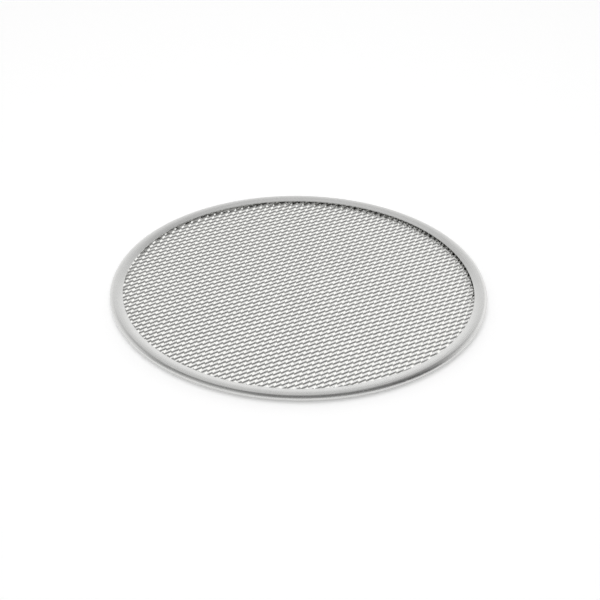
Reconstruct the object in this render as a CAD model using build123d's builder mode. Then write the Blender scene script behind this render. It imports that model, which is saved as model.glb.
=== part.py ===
from build123d import *
import os
from math import hypot

# Round baking screen. Millimetres, base on z = 0, centre of the disc on the Z axis.
# The diamonds of the mesh are long in X and short in Y.

# Rim: a strip of aluminium sheet folded into a channel round the mesh
rim_diameter = 304.8
rim_width = 11.0
rim_height = 6.4
rim_sheet = 0.8
bend_depth = 3.4  # how far the rounded outer edge stands out from the level stretch
crest_width = 2.4  # level stretch between the outer bend and the slope to each lip
lip_pinch = 0.8  # how far each lip is pressed in towards the mesh
inner_corner = 1.4  # slant across each corner inside the fold

# Mesh: one sheet, slit and pulled open, so its rows of strands lie like louvres
mesh_diameter = 296.8
mesh_height = rim_height - 2 * (lip_pinch + rim_sheet)
ridge_sheet = 1.9  # thickness of a ridge, measured upright

# The real diamonds are 11.6 by 5.4 mm. These are the same shape, drawn larger and fewer.
diamond_scale = 4.7
diamond_long = 11.6 * diamond_scale
diamond_short = 5.4 * diamond_scale
bond_length = 2.1 * diamond_scale  # uncut length where four strands meet
strand_width = 0.9 * diamond_scale  # width of a strand in Y, seen from above

# Values that follow
rim_radius = rim_diameter / 2
mesh_radius = mesh_diameter / 2
middle_z = rim_height / 2
bend_x = rim_radius - bend_depth
knee_x = bend_x - crest_width
lip_x = rim_radius - rim_width
inner_x = rim_radius - rim_sheet
inner_rise = middle_z - rim_sheet
row_pitch = diamond_short / 2
row_count = 2 * int(mesh_radius / row_pitch) + 2
ridge_rise = (mesh_height - ridge_sheet) / 2

# Rim: half of the fold's outline in from the bend, as distances from the axis and from mid height
upper_flange = [
    (knee_x, middle_z),
    (lip_x, middle_z - lip_pinch),
    (lip_x, inner_rise - lip_pinch),
    (knee_x, inner_rise),
    (inner_x - inner_corner, inner_rise),
    (inner_x, inner_rise - inner_corner),
]
lower_flange = [(x, -z) for x, z in reversed(upper_flange)]

with BuildPart() as rim:
    with BuildSketch(Plane((0, 0, middle_z), x_dir=(1, 0, 0), z_dir=(0, -1, 0))) as rim_section:
        with BuildLine():
            bend = EllipticalCenterArc((bend_x, 0), bend_depth, middle_z, start_angle=-90, arc_size=180)
            Polyline(bend @ 1, *upper_flange, *lower_flange, bend @ 0)
        make_face()
    revolve(axis=Axis.Z)

rim.part.label = "rim"

# Openings of the mesh: six-sided, pointed along X, in staggered rows
half_long = (diamond_long - bond_length) / 2
half_short = row_pitch - strand_width
opening_centres = []
for row in range(-row_count // 2, row_count // 2 + 1):
    for column in range(-row_count // 2, row_count // 2 + 1):
        x = (column + 0.5 * (row % 2)) * diamond_long
        y = row * row_pitch
        if hypot(max(abs(x) - half_long, 0), y) < mesh_radius:
            opening_centres.append((x, y))

with BuildPart() as mesh:
    # Each ridge falls towards +Y and steps up again at the next row of bonds
    with BuildSketch(Plane.YZ) as ridges:
        with GridLocations(row_pitch, 1, row_count, 1):
            Polygon(
                (-row_pitch / 2, middle_z + ridge_rise + ridge_sheet / 2),
                (-row_pitch / 2, middle_z + ridge_rise - ridge_sheet / 2),
                (row_pitch / 2, middle_z - ridge_rise - ridge_sheet / 2),
                (row_pitch / 2, middle_z - ridge_rise + ridge_sheet / 2),
                align=None,
            )
    extrude(amount=mesh_radius, both=True)
    with BuildSketch(Plane.XY) as outline:
        Circle(mesh_radius)
    extrude(amount=rim_height, mode=Mode.INTERSECT)
    with BuildSketch(Plane.XY) as openings:
        with Locations(opening_centres):
            Polygon(
                (-half_long, 0),
                (-bond_length / 2, -half_short),
                (bond_length / 2, -half_short),
                (half_long, 0),
                (bond_length / 2, half_short),
                (-bond_length / 2, half_short),
                align=None,
            )
    extrude(amount=rim_height, mode=Mode.SUBTRACT)

mesh.part.label = "mesh"

os.makedirs("parts", exist_ok=True)
export_step(rim.part, "parts/rim.step")
export_step(mesh.part, "parts/mesh.step")
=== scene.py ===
from math import cos, radians, sin

import bmesh
import bpy
from bpy.props import FloatProperty, FloatVectorProperty, IntProperty, PointerProperty
from mathutils import Matrix, Vector


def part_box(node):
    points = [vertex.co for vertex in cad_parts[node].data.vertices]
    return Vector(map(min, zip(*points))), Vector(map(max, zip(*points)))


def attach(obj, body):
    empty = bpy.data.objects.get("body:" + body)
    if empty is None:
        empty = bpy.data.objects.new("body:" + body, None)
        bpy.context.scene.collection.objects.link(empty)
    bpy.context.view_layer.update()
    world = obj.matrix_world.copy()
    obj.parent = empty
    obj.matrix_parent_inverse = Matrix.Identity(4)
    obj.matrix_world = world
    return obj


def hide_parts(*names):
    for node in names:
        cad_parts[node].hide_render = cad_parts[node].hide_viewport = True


bl_info = {
    "name": "Round Baking Screen",
    "version": (1, 0, 0),
    "blender": (4, 5, 0),
    "location": "3D View > Sidebar > Baking Screen",
    "description": "Expanded aluminium mesh, folded rim and studio of a round baking screen",
    "category": "Add Mesh",
}

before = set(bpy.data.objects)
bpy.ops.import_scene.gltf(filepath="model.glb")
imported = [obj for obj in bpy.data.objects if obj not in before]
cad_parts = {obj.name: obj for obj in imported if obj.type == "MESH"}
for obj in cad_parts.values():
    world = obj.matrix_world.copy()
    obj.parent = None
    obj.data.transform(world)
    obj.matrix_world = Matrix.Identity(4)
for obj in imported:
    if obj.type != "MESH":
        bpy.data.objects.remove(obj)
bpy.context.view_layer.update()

MM = 0.001
RIM_LOW, RIM_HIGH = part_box("rim")
MESH_LOW, MESH_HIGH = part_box("mesh")

# The photograph's camera, worked out from the rim's outline, in its 600 by 600 pixels
IMAGE_SIZE = 600
FOCAL_PIXELS = 1755.4
DISC_CENTRE_PIXEL = (298.58, 292.92)
SENSOR_WIDTH = 36.0

# Vertices nearer than this are one vertex
MERGE = MM / 100
FINE_MERGE = MM / 1000

# The mesh lies close under the upper lip, and its edge ends inside the rim's channel
MESH_RAISE = 0.55 * MM
MESH_EDGE_INSET = 0.4 * MM
MESH_EDGE_SIDES = 72
MESH_FLAT_ANGLE = radians(1)
MESH_SMOOTH_ANGLE = radians(10)
SHEARED_EDGE = 0.1 * MM
SHEARED_EDGE_ANGLE = radians(50)

# Corners of the rim's section: the outer bend is nearly a half circle, outside and inside
OUTER_BEND_SHARE = 0.995
INNER_BEND_SHARE = 0.99
KNEE_ROUNDING = 1.2 * MM
LIP_ROUNDING = 0.25 * MM
CORNER_SEGMENTS = (9, 3, 3, 3, 3, 7)
RIM_SMOOTH_ANGLE = radians(50)

FLOOR_HALF_SIZE = 4.0
FLOOR_GAP = MM / 50
FLOOR_COLOUR = (0.9, 0.9, 0.9, 1.0)
FLOOR_GLOW = 0.31
LAMP_SIZE = 2.0
LAMP_HEIGHT = 1.5

# The studio's lights, on directions of length 1: where each begins and is full, how it is
# turned, and by which part it brightens or dims the light that it falls on
CEILING_TURN = {"up": 0.93, "away": 0.34, "left": 0.1}
CEILING_SPAN = (0.88, 0.93)
WALL_TOP_SPAN = (0.38, 0.88)
LOW_LIGHT_SPAN = (0.5, 0.85)
SKIRT_SPAN = (0.2, 0.6)
SKIRT_GAIN = 0.5
BACKDROP_SPAN = (-0.13, 0.31)
BACKDROP_LEFT_SPAN = (0.1, 0.9)
BACKDROP_RIGHT_LEVEL = 1.04
BACKDROP_LEFT_LOSS = 0.3
REFLECTOR_TURN = {"left": 0.82, "away": -0.57}
REFLECTOR_SPAN = (0.8, 0.96)
SHADE_SPAN = (0.7, 0.95)
SHADE_LOSS = 0.65


class BakingScreenSizes(bpy.types.PropertyGroup):
    """Sizes of the expanded mesh and of the rim's section."""

    diamond_long: FloatProperty(
        name="Diamond length",
        description="Pitch of the diamonds along X, their long way",
        default=11.62 * MM, min=4 * MM, max=40 * MM, unit="LENGTH", precision=5,
    )
    diamond_short: FloatProperty(
        name="Diamond width",
        description="Pitch of the diamonds along Y, their short way",
        default=5.40 * MM, min=2 * MM, max=20 * MM, unit="LENGTH", precision=5,
    )
    bond_length: FloatProperty(
        name="Bond length",
        description="Uncut length where four strands meet",
        default=1.5 * MM, min=0.5 * MM, max=6 * MM, unit="LENGTH", precision=5,
    )
    strand_width: FloatProperty(
        name="Strand width",
        description="Width of one strand across the sheet, before it leans",
        default=1.3 * MM, min=0.3 * MM, max=4 * MM, unit="LENGTH", precision=5,
    )
    sheet: FloatProperty(
        name="Mesh sheet",
        description="Thickness of the sheet that the mesh is pulled from",
        default=0.9 * MM, min=0.2 * MM, max=2 * MM, unit="LENGTH", precision=5,
    )
    lean: FloatProperty(
        name="Strand lean",
        description="Angle that the strands take to the level when the sheet is pulled open",
        default=radians(30), min=0.0, max=radians(80), subtype="ANGLE",
    )
    rim_width: FloatProperty(
        name="Rim width",
        description="From the outer edge to the lip",
        default=10.5 * MM, min=4 * MM, max=30 * MM, unit="LENGTH", precision=5,
    )
    rim_sheet: FloatProperty(
        name="Rim sheet",
        description="Thickness of the folded strip",
        default=0.8 * MM, min=0.2 * MM, max=2 * MM, unit="LENGTH", precision=5,
    )
    bend_depth: FloatProperty(
        name="Bend depth",
        description="Width of the rounded outer edge, up to the level stretch",
        default=3.4 * MM, min=1 * MM, max=10 * MM, unit="LENGTH", precision=5,
    )
    crest_width: FloatProperty(
        name="Crest width",
        description="Level stretch between the outer bend and the slope to the lip",
        default=2.4 * MM, min=0.2 * MM, max=8 * MM, unit="LENGTH", precision=5,
    )
    lip_pinch: FloatProperty(
        name="Lip pinch",
        description="How far each lip is pressed in towards the mesh",
        default=0.75 * MM, min=0.0, max=2 * MM, unit="LENGTH", precision=5,
    )
    rim_steps: IntProperty(
        name="Steps round the rim",
        description="Number of steps in the revolved rim",
        default=288, min=48, max=720,
    )


class BakingScreenFinish(bpy.types.PropertyGroup):
    """Colours of the two aluminium finishes."""

    rim_colour: FloatVectorProperty(
        name="Rim colour", description="Colour of the brushed rim",
        subtype="COLOR", size=3, default=(0.71, 0.71, 0.70), min=0.0, max=1.0,
    )
    mesh_colour: FloatVectorProperty(
        name="Mesh colour", description="Colour of the expanded mesh",
        subtype="COLOR", size=3, default=(0.93, 0.93, 0.905), min=0.0, max=1.0,
    )


class BakingScreenStage(bpy.types.PropertyGroup):
    """Camera position and lamp strengths of the studio."""

    azimuth: FloatProperty(
        name="Camera azimuth", description="Direction of the camera round the disc, from +X",
        default=radians(-139.5), subtype="ANGLE",
    )
    elevation: FloatProperty(
        name="Camera elevation", description="Height of the camera above the disc's plane",
        default=radians(32.33), subtype="ANGLE",
    )
    distance: FloatProperty(
        name="Camera distance", description="From the camera to the centre of the disc",
        default=1.4237, min=0.3, max=10.0, unit="LENGTH",
    )
    roll: FloatProperty(
        name="Camera roll", description="Turn of the camera about its own axis",
        default=radians(0.73), subtype="ANGLE",
    )
    room_light: FloatProperty(
        name="Room light", description="Brightness of the dim room around the camera",
        default=0.29, min=0.0, max=4.0,
    )
    backdrop_light: FloatProperty(
        name="Backdrop light",
        description="Brightness that the pale backdrop behind the disc adds",
        default=0.95, min=0.0, max=4.0,
    )
    ceiling_light: FloatProperty(
        name="Ceiling light", description="Brightness that the soft light overhead adds",
        default=0.61, min=0.0, max=4.0,
    )
    side_light: FloatProperty(
        name="Side light",
        description="Brightness that the reflector at the camera's left adds",
        default=0.3, min=0.0, max=4.0,
    )
    floor_power: FloatProperty(
        name="Floor lamp power",
        description="Power of the overhead lamp that lights the floor and isn't mirrored",
        default=11.2, min=0.0, max=500.0, unit="POWER",
    )


class Value:
    """A shader socket for use in Python expressions; each operation adds its Math node."""

    def __init__(self, shader, socket):
        self.shader = shader
        self.socket = socket

    def _math(self, operation, first, second=0.0):
        return self.shader.node("ShaderNodeMath", {"operation": operation}, {0: first, 1: second})

    def __add__(self, other):
        return self._math("ADD", self, other)

    __radd__ = __add__

    def __sub__(self, other):
        return self._math("SUBTRACT", self, other)

    def __rsub__(self, other):
        return self._math("SUBTRACT", other, self)

    def __mul__(self, other):
        return self._math("MULTIPLY", self, other)

    __rmul__ = __mul__

    def __truediv__(self, other):
        return self._math("DIVIDE", self, other)

    def __rtruediv__(self, other):
        return self._math("DIVIDE", other, self)

    def root(self):
        return self._math("SQRT", self)


def shades(colour, darker, lighter):
    """The same colour a little darker and a little lighter."""
    return [c * darker for c in colour], [min(1, c * lighter) for c in colour]


class Shader:
    """Nodes of one material or world, made by one method."""

    def __init__(self, owner):
        self.owner = owner
        owner.use_nodes = True
        self.tree = owner.node_tree
        self.tree.nodes.clear()

    def node(self, kind, settings=None, sockets=None, output=0):
        made = self.tree.nodes.new(kind)
        for key, value in (settings or {}).items():
            setattr(made, key, value)
        for key, value in (sockets or {}).items():
            if isinstance(value, Value):
                self.tree.links.new(value.socket, made.inputs[key])
            else:
                made.inputs[key].default_value = value
        return Value(self, made.outputs[output]) if len(made.outputs) else made

    def split(self, vector):
        """The three numbers of a vector."""
        parts = self.node("ShaderNodeSeparateXYZ", sockets={0: vector}).socket.node
        return [Value(self, output) for output in parts.outputs]

    def ramp(self, value, start, end):
        """0 below start, 1 above end, with a soft change between them."""
        return self.node(
            "ShaderNodeMapRange", {"interpolation_type": "SMOOTHSTEP"},
            {"Value": value, "From Min": start, "From Max": end},
        )

    def mix(self, share, low, high):
        """A colour between two plain colours."""
        colours = {6: (*low, 1.0), 7: (*high, 1.0)}
        return self.node("ShaderNodeMix", {"data_type": "RGBA"}, {0: share, **colours}, output=2)

    def ray(self, kind):
        """1 for the named kind of ray, otherwise 0."""
        return self.node("ShaderNodeLightPath", output=kind)

    def finish(self, surface, output="ShaderNodeOutputMaterial"):
        self.node(output, sockets={"Surface": surface})
        return self.owner


def brushed_rim_material(colour):
    """Satin aluminium with a fine grain that runs round the rim, and slow painted reflection bands
    in its colour.
    """
    shader = Shader(bpy.data.materials.new("brushed_aluminium"))
    place = shader.node("ShaderNodeTexCoord", output=3)
    x, y, z = shader.split(place)
    radius = (x * x + y * y).root()
    round_x = x / radius
    round_y = y / radius
    grain_place = shader.node(
        "ShaderNodeCombineXYZ",
        sockets={0: (radius + z) * 4200.0, 1: round_x * 9.0, 2: round_y * 9.0},
    )
    grain = shader.node(
        "ShaderNodeTexNoise",
        sockets={"Vector": grain_place, "Scale": 1.0, "Detail": 3.0, "Roughness": 0.6},
    )
    # Slow swells round the rim: they bend the surface through the bump, and the same noise is
    # painted into the colour as lighter and darker bands
    wave_place = shader.node(
        "ShaderNodeCombineXYZ",
        sockets={0: radius * 120.0, 1: round_x * 26.0, 2: round_y * 26.0},
    )
    waviness_and_painted_reflection = shader.node(
        "ShaderNodeTexNoise", sockets={"Vector": wave_place, "Scale": 1.0, "Detail": 2.0}
    )
    bump = shader.node(
        "ShaderNodeBump",
        sockets={"Strength": 0.35, "Distance": 0.03 * MM, "Height": grain * 0.7 + waviness_and_painted_reflection * 2.0},
    )
    # The colour mixes the grain's own tone with painted reflection: slow lighter and darker bands
    # round the rim that stand in for how the wavy band mirrors the room
    grain_tone_and_painted_reflection = shader.mix(grain * 0.5 + waviness_and_painted_reflection * 0.5, *shades(colour, 0.94, 1.05))
    surface = shader.node(
        "ShaderNodeBsdfPrincipled",
        sockets={
            "Base Color": grain_tone_and_painted_reflection,
            "Metallic": 1.0,
            "Roughness": grain * 0.14 + 0.2,
            "Anisotropic": 0.6,
            "Anisotropic Rotation": 0.25,
            "Normal": bump,
        },
    )
    return shader.finish(surface)


def mesh_material(colour):
    """Bright sheet aluminium, slightly uneven from being slit and pulled."""
    shader = Shader(bpy.data.materials.new("expanded_aluminium"))
    place = shader.node("ShaderNodeTexCoord", output=3)
    patches = shader.node(
        "ShaderNodeTexNoise", sockets={"Vector": place, "Scale": 90.0, "Detail": 3.0}
    )
    drawn_place = shader.node(
        "ShaderNodeMapping", sockets={0: place, "Scale": (350.0, 2600.0, 2600.0)}
    )
    drawn_lines = shader.node(
        "ShaderNodeTexNoise", sockets={"Vector": drawn_place, "Scale": 1.0, "Detail": 2.0}
    )
    bump = shader.node(
        "ShaderNodeBump", sockets={"Strength": 0.4, "Distance": 0.02 * MM, "Height": drawn_lines}
    )
    surface = shader.node(
        "ShaderNodeBsdfPrincipled",
        sockets={
            "Base Color": shader.mix(patches, *shades(colour, 0.93, 1.07)),
            "Metallic": 1.0,
            "Roughness": patches * 0.1 + 0.13,
            "Normal": bump,
        },
    )
    return shader.finish(surface)


def piece_from(name, bm, material, smooth_angle):
    """Makes an object at the origin from a bmesh, smooth below the given angle."""
    mesh = bpy.data.meshes.new(name)
    bm.to_mesh(mesh)
    bm.free()
    mesh.materials.append(material)
    piece = bpy.data.objects.new(name, mesh)
    bpy.context.scene.collection.objects.link(piece)
    mesh.shade_smooth()
    mesh.set_sharp_from_angle(angle=smooth_angle)
    return piece


def apply_modifiers(piece, smooth_angle):
    """Turns the piece's modifiers into its mesh."""
    graph = bpy.context.evaluated_depsgraph_get()
    finished = bpy.data.meshes.new_from_object(piece.evaluated_get(graph))
    rough = piece.data
    piece.modifiers.clear()
    piece.data = finished
    finished.name = rough.name
    bpy.data.meshes.remove(rough)
    finished.shade_smooth()
    finished.set_sharp_from_angle(angle=smooth_angle)


def open_bond(sizes):
    """One bond of the mesh with its four half strands: sheet slit, leant and pulled open."""
    half_bond = sizes.bond_length / 2
    reach = sizes.diamond_long / 4
    bm = bmesh.new()
    bmesh.ops.create_grid(bm, x_segments=3, y_segments=2, size=1.0)
    for v in bm.verts:
        at_end = abs(v.co.x) > 0.5
        v.co.x = (reach if at_end else half_bond) * (1 if v.co.x > 0 else -1)
        v.co.y *= sizes.strand_width

    # The sheet is slit along its middle on both sides of the bond, which stays whole
    middle_edges = [e for e in bm.edges if all(abs(v.co.y) < MERGE for v in e.verts)]
    slits = [e for e in middle_edges if abs(sum(v.co.x for v in e.verts)) > half_bond * 2.1]
    bmesh.ops.split_edges(bm, edges=slits)

    ends = {1: set(), -1: set()}
    for face in bm.faces:
        side = 1 if face.calc_center_median().y > 0 else -1
        ends[side].update(v for v in face.verts if abs(v.co.x) > reach * 0.99)
    bmesh.ops.rotate(bm, verts=bm.verts, cent=(0, 0, 0), matrix=Matrix.Rotation(sizes.lean, 3, "X"))

    # Each half strand ends half way to the bond that it shares with the next row
    half_strand = sizes.strand_width / 2
    pull = Vector((
        0, sizes.diamond_short / 4 - half_strand * cos(sizes.lean), -half_strand * sin(sizes.lean),
    ))
    for side, verts in ends.items():
        bmesh.ops.translate(bm, verts=list(verts), vec=pull * side)
    return bm


def repeat(bm, step, count):
    """Copies what the bmesh holds, count times in all, each a step further."""
    source = bm.verts[:] + bm.edges[:] + bm.faces[:]
    for index in range(1, count):
        copy = bmesh.ops.duplicate(bm, geom=source)["geom"]
        verts = [item for item in copy if isinstance(item, bmesh.types.BMVert)]
        bmesh.ops.translate(bm, verts=verts, vec=step * index)


def trim_to_disc(bm, radius, sides):
    """Cuts away what lies outside a many-sided disc."""
    for index in range(sides):
        turn = radians(360) * index / sides
        outward = Vector((cos(turn), sin(turn), 0))
        bmesh.ops.bisect_plane(
            bm, geom=bm.verts[:] + bm.edges[:] + bm.faces[:], dist=FINE_MERGE,
            plane_co=outward * radius, plane_no=outward, clear_outer=True,
        )


def expanded_mesh(sizes, material):
    """The whole disc of expanded sheet."""
    radius = MESH_HIGH.x
    columns = int(2 * radius / sizes.diamond_long) + 2
    rows = int(radius / sizes.diamond_short) + 1
    bm = open_bond(sizes)
    repeat(bm, Vector((sizes.diamond_long, 0, 0)), columns)
    repeat(bm, Vector((sizes.diamond_long / 2, sizes.diamond_short / 2, 0)), 2)
    repeat(bm, Vector((0, sizes.diamond_short, 0)), 2 * rows)
    first_bond = Vector((
        -columns // 2 * sizes.diamond_long,
        -rows * sizes.diamond_short,
        (MESH_LOW.z + MESH_HIGH.z) / 2 + MESH_RAISE,
    ))
    bmesh.ops.translate(bm, verts=bm.verts, vec=first_bond)
    reach = radius + sizes.diamond_short
    outside = [f for f in bm.faces if f.calc_center_median().xy.length > reach]
    bmesh.ops.delete(bm, geom=outside, context="FACES")
    bmesh.ops.remove_doubles(bm, verts=bm.verts, dist=MERGE)
    trim_to_disc(bm, radius - MESH_EDGE_INSET, MESH_EDGE_SIDES)
    bmesh.ops.dissolve_limit(bm, angle_limit=MESH_FLAT_ANGLE, verts=bm.verts, edges=bm.edges)
    bmesh.ops.recalc_face_normals(bm, faces=bm.faces)
    piece = piece_from("expanded_mesh", bm, material, MESH_SMOOTH_ANGLE)
    solid = piece.modifiers.new("sheet thickness", "SOLIDIFY")
    solid.thickness = sizes.sheet
    solid.offset = 0.0
    solid.use_even_offset = True
    soft = piece.modifiers.new("sheared edges", "BEVEL")
    soft.width = SHEARED_EDGE
    soft.segments = 1
    soft.limit_method = "ANGLE"
    soft.angle_limit = SHEARED_EDGE_ANGLE
    apply_modifiers(piece, MESH_SMOOTH_ANGLE)
    return piece


def folded_rim(sizes, material):
    """The rim: its section drawn with corners, the corners rounded, and the section revolved."""
    radius = min(RIM_HIGH.x, -RIM_LOW.x, RIM_HIGH.y, -RIM_LOW.y)
    half = (RIM_HIGH.z - RIM_LOW.z) / 2
    middle = (RIM_HIGH.z + RIM_LOW.z) / 2
    lip = radius - sizes.rim_width
    knee = radius - sizes.bend_depth - sizes.crest_width
    inner = half - sizes.rim_sheet
    upper = [
        (radius, half, half * OUTER_BEND_SHARE),
        (knee, half, KNEE_ROUNDING),
        (lip, half - sizes.lip_pinch, LIP_ROUNDING),
        (lip, inner - sizes.lip_pinch, LIP_ROUNDING),
        (knee, inner, KNEE_ROUNDING),
        (radius - sizes.rim_sheet, inner, inner * INNER_BEND_SHARE),
    ]
    corners = upper + [(x, -z, rounding) for x, z, rounding in reversed(upper)]
    bm = bmesh.new()
    verts = [bm.verts.new((x, 0, middle + z)) for x, z, rounding in corners]
    for index, v in enumerate(verts):
        bm.edges.new((verts[index - 1], v))
    bm.faces.new(verts)
    for v, (x, z, rounding), count in zip(verts, corners, CORNER_SEGMENTS + CORNER_SEGMENTS[::-1]):
        bmesh.ops.bevel(
            bm, geom=[v], offset=rounding, affect="VERTICES", segments=count,
            profile=0.5, material=-1, clamp_overlap=False,
        )
    bmesh.ops.delete(bm, geom=bm.faces[:], context="FACES_ONLY")
    bmesh.ops.spin(
        bm, geom=bm.verts[:] + bm.edges[:], cent=(0, 0, 0), axis=(0, 0, 1),
        angle=radians(360), steps=sizes.rim_steps, use_merge=True,
    )
    bmesh.ops.remove_doubles(bm, verts=bm.verts, dist=FINE_MERGE)
    bmesh.ops.recalc_face_normals(bm, faces=bm.faces)
    return piece_from("folded_rim", bm, material, RIM_SMOOTH_ANGLE)


class BAKINGSCREEN_OT_mesh(bpy.types.Operator):
    """Make the disc of expanded mesh"""

    bl_idname = "baking_screen.mesh"
    bl_label = "Expanded Mesh"

    def execute(self, context):
        scene = context.scene
        material = mesh_material(scene.baking_screen_finish.mesh_colour)
        piece = expanded_mesh(scene.baking_screen_sizes, material)
        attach(piece, "root")
        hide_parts("mesh")
        return {"FINISHED"}


class BAKINGSCREEN_OT_rim(bpy.types.Operator):
    """Make the folded rim"""

    bl_idname = "baking_screen.rim"
    bl_label = "Folded Rim"

    def execute(self, context):
        scene = context.scene
        material = brushed_rim_material(scene.baking_screen_finish.rim_colour)
        piece = folded_rim(scene.baking_screen_sizes, material)
        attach(piece, "root")
        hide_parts("rim")
        return {"FINISHED"}


def floor_lamp(power):
    """A large soft lamp overhead, left out of reflections."""
    light = bpy.data.lights.new("overhead", "AREA")
    light.size = LAMP_SIZE
    light.energy = power
    holder = bpy.data.objects.new("overhead", light)
    holder.location = (0, 0, LAMP_HEIGHT)
    holder.visible_glossy = False
    bpy.context.scene.collection.objects.link(holder)


def place_camera(stage):
    """Puts the camera where the photograph was taken from."""
    level = Vector((cos(stage.azimuth), sin(stage.azimuth), 0))
    upright = Vector((0, 0, 1))
    place = (level * cos(stage.elevation) + upright * sin(stage.elevation)) * stage.distance
    forward = -place.normalized()
    right = forward.cross(upright).normalized()
    up = right.cross(forward)
    aside = (DISC_CENTRE_PIXEL[0] - IMAGE_SIZE / 2) / FOCAL_PIXELS
    below = (DISC_CENTRE_PIXEL[1] - IMAGE_SIZE / 2) / FOCAL_PIXELS
    axis = (forward - aside * right + below * up).normalized()
    right = axis.cross(upright).normalized()
    up = right.cross(axis)
    rolled_right = right * cos(stage.roll) + up * sin(stage.roll)
    rolled_up = up * cos(stage.roll) - right * sin(stage.roll)
    turn = Matrix((rolled_right, rolled_up, -axis)).transposed().to_4x4()
    data = bpy.data.cameras.new("camera")
    data.sensor_width = SENSOR_WIDTH
    data.lens = FOCAL_PIXELS * SENSOR_WIDTH / IMAGE_SIZE
    camera = bpy.data.objects.new("camera", data)
    camera.matrix_world = Matrix.Translation(place) @ turn
    bpy.context.scene.collection.objects.link(camera)
    bpy.context.scene.camera = camera


def floor_material():
    """Pale floor that reads as white, and keeps the shadow of what stands on it."""
    shader = Shader(bpy.data.materials.new("studio_floor"))
    shown = (
        shader.ray("Is Camera Ray") + shader.ray("Is Glossy Ray")
        + shader.ray("Is Transmission Ray")
    )
    matt = shader.node("ShaderNodeBsdfDiffuse", sockets={"Color": FLOOR_COLOUR})
    glow = shader.node(
        "ShaderNodeEmission", sockets={"Color": (1, 1, 1, 1), "Strength": shown * FLOOR_GLOW}
    )
    return shader.finish(shader.node("ShaderNodeAddShader", sockets={0: matt, 1: glow}))


def plain_floor():
    """A wide level floor just under the rim."""
    bm = bmesh.new()
    bmesh.ops.create_grid(bm, x_segments=1, y_segments=1, size=FLOOR_HALF_SIZE)
    bmesh.ops.translate(bm, verts=bm.verts, vec=(0, 0, RIM_LOW.z - FLOOR_GAP))
    floor = piece_from("floor", bm, floor_material(), RIM_SMOOTH_ANGLE)


def studio_world(stage):
    """A dim room with a pale backdrop, a soft ceiling and a reflector; the camera sees white."""
    shader = Shader(bpy.data.worlds.new("studio"))
    x, y, up = shader.split(shader.node("ShaderNodeTexCoord", output=0))
    level_part = (x * x + y * y).root() + 0.001
    away = x * -cos(stage.azimuth) + y * -sin(stage.azimuth)
    left = x * sin(stage.azimuth) + y * -cos(stage.azimuth)

    # A soft light overhead, tilted to the back
    overhead = (
        up * CEILING_TURN["up"] + away * CEILING_TURN["away"] + left * CEILING_TURN["left"]
    )
    ceiling = shader.ramp(overhead, *CEILING_SPAN)

    # From here on, away and left are the direction's turn alone, whatever its height
    away, left = away / level_part, left / level_part
    wall = 1 - shader.ramp(up, *WALL_TOP_SPAN)
    low = 1 - shader.ramp(up, *LOW_LIGHT_SPAN)
    skirt = 1 - shader.ramp(up, *SKIRT_SPAN)

    # The pale backdrop behind the disc, dimmer at the left
    side_loss = shader.ramp(left, *BACKDROP_LEFT_SPAN) * BACKDROP_LEFT_LOSS
    backdrop = shader.ramp(away, *BACKDROP_SPAN) * wall * (BACKDROP_RIGHT_LEVEL - side_loss)

    # A reflector at the left of the camera, and a dark side at the right
    toward_reflector = left * REFLECTOR_TURN["left"] + away * REFLECTOR_TURN["away"]
    reflector = shader.ramp(toward_reflector, *REFLECTOR_SPAN) * low
    shade = shader.ramp(left * -1, *SHADE_SPAN) * low
    room = (1 - shade * SHADE_LOSS) * (1 + skirt * SKIRT_GAIN)

    level = (
        backdrop * stage.backdrop_light + reflector * stage.side_light
        + ceiling * stage.ceiling_light + room * stage.room_light
    )
    light = shader.node("ShaderNodeBackground", sockets={"Strength": level})
    white = shader.node("ShaderNodeBackground", sockets={"Strength": 1.0})
    surface = shader.node(
        "ShaderNodeMixShader", sockets={0: shader.ray("Is Camera Ray"), 1: light, 2: white}
    )
    bpy.context.scene.world = shader.finish(surface, "ShaderNodeOutputWorld")


class BAKINGSCREEN_OT_stage(bpy.types.Operator):
    """Set the floor, the lamps and the camera"""

    bl_idname = "baking_screen.stage"
    bl_label = "Studio"

    def execute(self, context):
        stage = context.scene.baking_screen_stage
        plain_floor()
        studio_world(stage)
        floor_lamp(stage.floor_power)
        place_camera(stage)
        context.scene.view_settings.view_transform = "Standard"
        return {"FINISHED"}


class BAKINGSCREEN_PT_panel(bpy.types.Panel):
    """Sizes, finishes and the buttons that build the screen"""

    bl_idname = "BAKINGSCREEN_PT_panel"
    bl_label = "Baking Screen"
    bl_space_type = "VIEW_3D"
    bl_region_type = "UI"
    bl_category = "Baking Screen"

    def draw(self, context):
        layout = self.layout
        scene = context.scene
        for group_name in GROUPS:
            group = getattr(scene, group_name)
            column = layout.column(align=True)
            for name in group.__annotations__:
                column.prop(group, name)
        for operator in OPERATORS:
            layout.operator(operator.bl_idname)


OPERATORS = (BAKINGSCREEN_OT_mesh, BAKINGSCREEN_OT_rim, BAKINGSCREEN_OT_stage)
GROUPS = {
    "baking_screen_sizes": BakingScreenSizes,
    "baking_screen_finish": BakingScreenFinish,
    "baking_screen_stage": BakingScreenStage,
}


def register():
    for cls in (*GROUPS.values(), *OPERATORS, BAKINGSCREEN_PT_panel):
        bpy.utils.register_class(cls)
    for name, group in GROUPS.items():
        setattr(bpy.types.Scene, name, PointerProperty(type=group))


def unregister():
    for name in GROUPS:
        delattr(bpy.types.Scene, name)
    for cls in (BAKINGSCREEN_PT_panel, *reversed(OPERATORS), *reversed(GROUPS.values())):
        bpy.utils.unregister_class(cls)


def main():
    register()
    bpy.ops.baking_screen.mesh()
    bpy.ops.baking_screen.rim()
    bpy.ops.baking_screen.stage()


if __name__ == "__main__":
    main()
